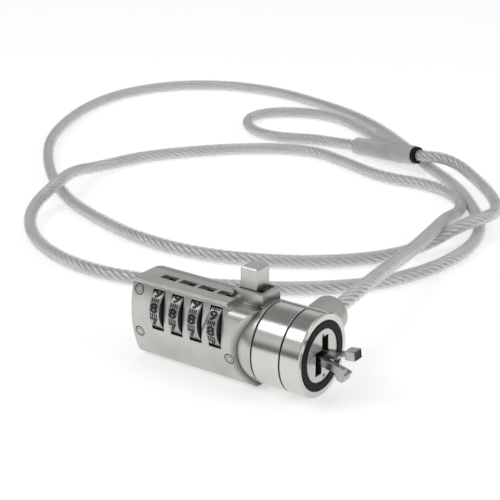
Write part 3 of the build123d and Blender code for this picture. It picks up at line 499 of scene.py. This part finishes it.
# ---- eye sleeve, smoothed into one moulding ----
sleeve = nodes["loop_sleeve"].copy()
sleeve.data = nodes["loop_sleeve"].data.copy()
sleeve.parent = None
sleeve.name = "sleeve_moulding"
bpy.context.collection.objects.link(sleeve)
remesh = sleeve.modifiers.new("remesh", "REMESH")
remesh.mode = "VOXEL"
remesh.voxel_size = 0.3 * MM
remesh.use_smooth_shade = True
soften = sleeve.modifiers.new("soften", "SMOOTH")
soften.factor = 0.5
soften.iterations = 10
sleeve.data.materials.clear()
sleeve.data.materials.append(SLEEVE)
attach(sleeve, "swivel")
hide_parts("loop_sleeve")

# ---- upper hook: its end face is a dark panel in a bright rim ----
RIM = 0.42
PANEL_DEPTH = 0.25
hook_mesh = nodes["upper_arm"].data.copy()
hook_mesh.materials.clear()
hook_mesh.materials.append(HOOK)
hook_mesh.materials.append(BLACK_PAINT_AND_SHADE)
cut = bmesh.new()
cut.from_mesh(hook_mesh)
cut.normal_update()
tip_x = max(v.co.x for v in cut.verts)
end_faces = [f for f in cut.faces if f.normal.x > 0.95 and f.calc_center_median().x > tip_x - 0.6 * MM]
bmesh.ops.inset_region(cut, faces=end_faces, thickness=RIM * MM, use_even_offset=True)
bmesh.ops.inset_region(cut, faces=end_faces, thickness=0.02 * MM, depth=-PANEL_DEPTH * MM)
for face in end_faces:
    face.material_index = 1
cut.to_mesh(hook_mesh)
cut.free()
hook_tip = bpy.data.objects.new("upper_hook_panelled", hook_mesh)
hook_tip.matrix_world = nodes["upper_arm"].matrix_world.copy()
bpy.context.collection.objects.link(hook_tip)
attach(hook_tip, "upper_hook")
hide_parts("upper_arm")

# ---- dials: grooved wheels with inlaid digits ----
WHEEL_STEPS = 360
DIGIT_STEP = 36
READ_VALUE = 8            # the digit nearest to straight ahead
READ_ANGLES = [14.0, 14.0, 14.0, 0.0]
RIB_US = (-0.85, -0.28, 0.28, 0.85)
RIB_HALF = 0.13
RIB_SPAN = 4.8
RIB_DEPTH = 0.28
RIB_SLACK, GROOVE_SLACK = 0.02, 0.05
CHAMFER_FROM, CHAMFER_W, CHAMFER_DEPTH = 1.32, 0.18, 0.22
WIDTHS = [-1.5, -1.38, -1.2, -1.02, -0.98, -0.72, -0.68, -0.45, -0.41, -0.15, -0.11, 0.11, 0.15, 0.41,
          0.45, 0.68, 0.72, 0.98, 1.02, 1.2, 1.38, 1.5]


def on_wheel(x, radius, degrees):
    """A point on a dial, by its angle above straight ahead."""
    a = math.radians(degrees)
    return Vector((x, SPINDLE_Y - radius * math.cos(a), SPINDLE_Z + radius * math.sin(a))) * MM


def between_digits(index, angle):
    """Whether an angle lies in the ribbed stretch between two digits."""
    gap = (angle - READ_ANGLES[index] - DIGIT_STEP / 2) % DIGIT_STEP
    return min(gap, DIGIT_STEP - gap) < RIB_SPAN


def wheel(index, x):
    """One dial: chamfered rim, ribs cut between the digits, dark grooves, and black flanks painted as
    shade.
    """
    verts, faces, kinds = [], [], []
    columns = len(WIDTHS)
    for step in range(WHEEL_STEPS):
        angle = 360 * step / WHEEL_STEPS
        in_ribs = between_digits(index, angle)
        for u in WIDTHS:
            r = DIAL_R - CHAMFER_DEPTH * max(0.0, abs(u) - CHAMFER_FROM) / CHAMFER_W
            if in_ribs and any(abs(u - rib) < RIB_HALF + RIB_SLACK for rib in RIB_US):
                r -= RIB_DEPTH
            verts.append(on_wheel(x + u, r, angle))
        verts.append(on_wheel(x + WIDTHS[-1], HUB_R, angle))
        verts.append(on_wheel(x + WIDTHS[0], HUB_R, angle))
    ring = columns + 2
    for step in range(WHEEL_STEPS):
        here, following = step * ring, (step + 1) % WHEEL_STEPS * ring
        angle = 360 * (step + 0.5) / WHEEL_STEPS
        in_ribs = between_digits(index, angle)
        for c in range(ring):
            d = (c + 1) % ring
            faces.append((here + c, following + c, following + d, here + d))
            # the flanks and the hub face are black: painted shade on the dial's sides; the rib grooves are
            # black too
            groove = c >= columns - 1
            if in_ribs and c < columns - 1:
                middle = (WIDTHS[c] + WIDTHS[c + 1]) / 2
                groove = any(abs(middle - rib) < RIB_HALF + GROOVE_SLACK for rib in RIB_US)
            kinds.append(1 if groove else 0)
    made = add_mesh(f"wheel_{index + 1}", verts, faces, DIAL, smooth=False)
    made.data.materials.append(BLACK_PAINT_AND_SHADE)
    for polygon, kind in zip(made.data.polygons, kinds):
        polygon.material_index = kind
    return made


DIGIT_W = 2.3
DIGIT_H = 2.5
ONE_NARROWER = 0.55       # the 1 is drawn this much narrower
DIGIT_CUTS = 12           # bands a digit is cut into, so that it bends with the dial
INLAY_TOP, INLAY_BOTTOM = 0.02, -0.05


def digit(index, x, value):
    """One numeral as a thin inlay that follows the wheel."""
    text = bpy.data.curves.new(f"numeral_{index + 1}_{value}", "FONT")
    text.body = str(value)
    text.offset = 0.055
    text.extrude = 0.02
    text.resolution_u = 4
    holder = bpy.data.objects.new("numeral_source", text)
    bpy.context.collection.objects.link(holder)
    bpy.context.view_layer.update()
    mesh = bpy.data.meshes.new_from_object(holder)
    bpy.data.objects.remove(holder)
    cut = bmesh.new()
    cut.from_mesh(mesh)
    low = Vector((min(v.co.x for v in cut.verts), min(v.co.y for v in cut.verts), 0))
    high = Vector((max(v.co.x for v in cut.verts), max(v.co.y for v in cut.verts), 0))
    for level in range(1, DIGIT_CUTS):
        height = low.y + (high.y - low.y) * level / DIGIT_CUTS
        everything = cut.verts[:] + cut.edges[:] + cut.faces[:]
        bmesh.ops.bisect_plane(cut, geom=everything, plane_co=(0, height, 0), plane_no=(0, 1, 0))
    width = DIGIT_W * (ONE_NARROWER if value == 1 else 1.0)
    for v in cut.verts:
        u = ((v.co.x - low.x) / (high.x - low.x) - 0.5) * width
        h = ((v.co.y - low.y) / (high.y - low.y) - 0.5) * DIGIT_H
        radius = DIAL_R + (INLAY_TOP if v.co.z > 0 else INLAY_BOTTOM)
        angle = READ_ANGLES[index] + (value - READ_VALUE) * DIGIT_STEP + math.degrees(h / DIAL_R)
        v.co = on_wheel(x + u, radius, angle)
    cut.to_mesh(mesh)
    cut.free()
    mesh.materials.clear()
    mesh.materials.append(BLACK_PAINT_AND_SHADE)
    made = bpy.data.objects.new(f"numeral_{index + 1}_{value}", mesh)
    bpy.context.collection.objects.link(made)
    return made


for index, x in enumerate(DIAL_XS):
    body = "dial_" + "abcd"[index]
    made = wheel(index, x)
    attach(made, body)
    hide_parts(f"dial_{index + 1}")
    for value in range(10):
        numeral = digit(index, x, value)
        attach(numeral, body)

# ---- floor, world and lights ----
FLOOR_HALF = 12.0
floor = add_mesh("floor", [(-FLOOR_HALF, -FLOOR_HALF, 0), (FLOOR_HALF, -FLOOR_HALF, 0),
                           (FLOOR_HALF, FLOOR_HALF, 0), (-FLOOR_HALF, FLOOR_HALF, 0)],
                 [(0, 1, 2, 3)], ZINC, smooth=False)
floor.location.z = -0.00005
floor_look = material("pale_floor")[0]
floor_shader = floor_look.node_tree.nodes["Principled BSDF"]
floor_shader.inputs["Base Color"].default_value = (0.86, 0.86, 0.86, 1)
floor_shader.inputs["Roughness"].default_value = 0.9
floor_shader.inputs["Emission Color"].default_value = (1, 1, 1, 1)
floor_shader.inputs["Emission Strength"].default_value = 0.45
floor.data.materials.clear()
floor.data.materials.append(floor_look)

world = bpy.data.worlds.new("studio")
bpy.context.scene.world = world
world.use_nodes = True
sky = world.node_tree
background = sky.nodes["Background"]
place = sky.nodes.new("ShaderNodeTexCoord")
split = sky.nodes.new("ShaderNodeSeparateXYZ")
sky.links.new(place.outputs["Generated"], split.inputs["Vector"])
ramp = sky.nodes.new("ShaderNodeValToRGB")
sky.links.new(split.outputs["Z"], ramp.inputs["Fac"])
# height of the direction, then its grey
bands = [(0.0, 0.16), (0.10, 0.12), (0.22, 0.40), (0.32, 1.0), (0.50, 0.95), (0.62, 0.50), (0.80, 0.30),
         (1.0, 0.50)]
elements = ramp.color_ramp.elements
elements[0].position, elements[0].color = bands[0][0], (bands[0][1],) * 3 + (1,)
elements[1].position, elements[1].color = bands[-1][0], (bands[-1][1],) * 3 + (1,)
for position, grey in bands[1:-1]:
    element = elements.new(position)
    element.color = (grey, grey, grey, 1)
sky.links.new(ramp.outputs["Color"], background.inputs["Color"])
background.inputs["Strength"].default_value = 0.75


def area(name, location, target, size, power):
    """A rectangular lamp aimed at a point."""
    light = bpy.data.lights.new(name, "AREA")
    light.shape = "RECTANGLE"
    light.size, light.size_y = size
    light.energy = power
    lamp = bpy.data.objects.new(name, light)
    bpy.context.collection.objects.link(lamp)
    aim = (Vector(target) - Vector(location)).to_track_quat("-Z", "Y")
    lamp.matrix_world = Matrix.Translation(location) @ aim.to_matrix().to_4x4()
    return lamp


area("key", (-0.35, -0.45, 0.75), (-0.02, 0.02, 0.01), (0.5, 0.35), 1.6)
area("top", (0.1, 0.25, 1.0), (-0.05, 0.08, 0), (1.0, 0.9), 1.5)
area("side", (0.75, 0.15, 0.45), (0, 0, 0.01), (0.25, 0.6), 0.8)

bpy.context.scene.view_settings.view_transform = "Standard"
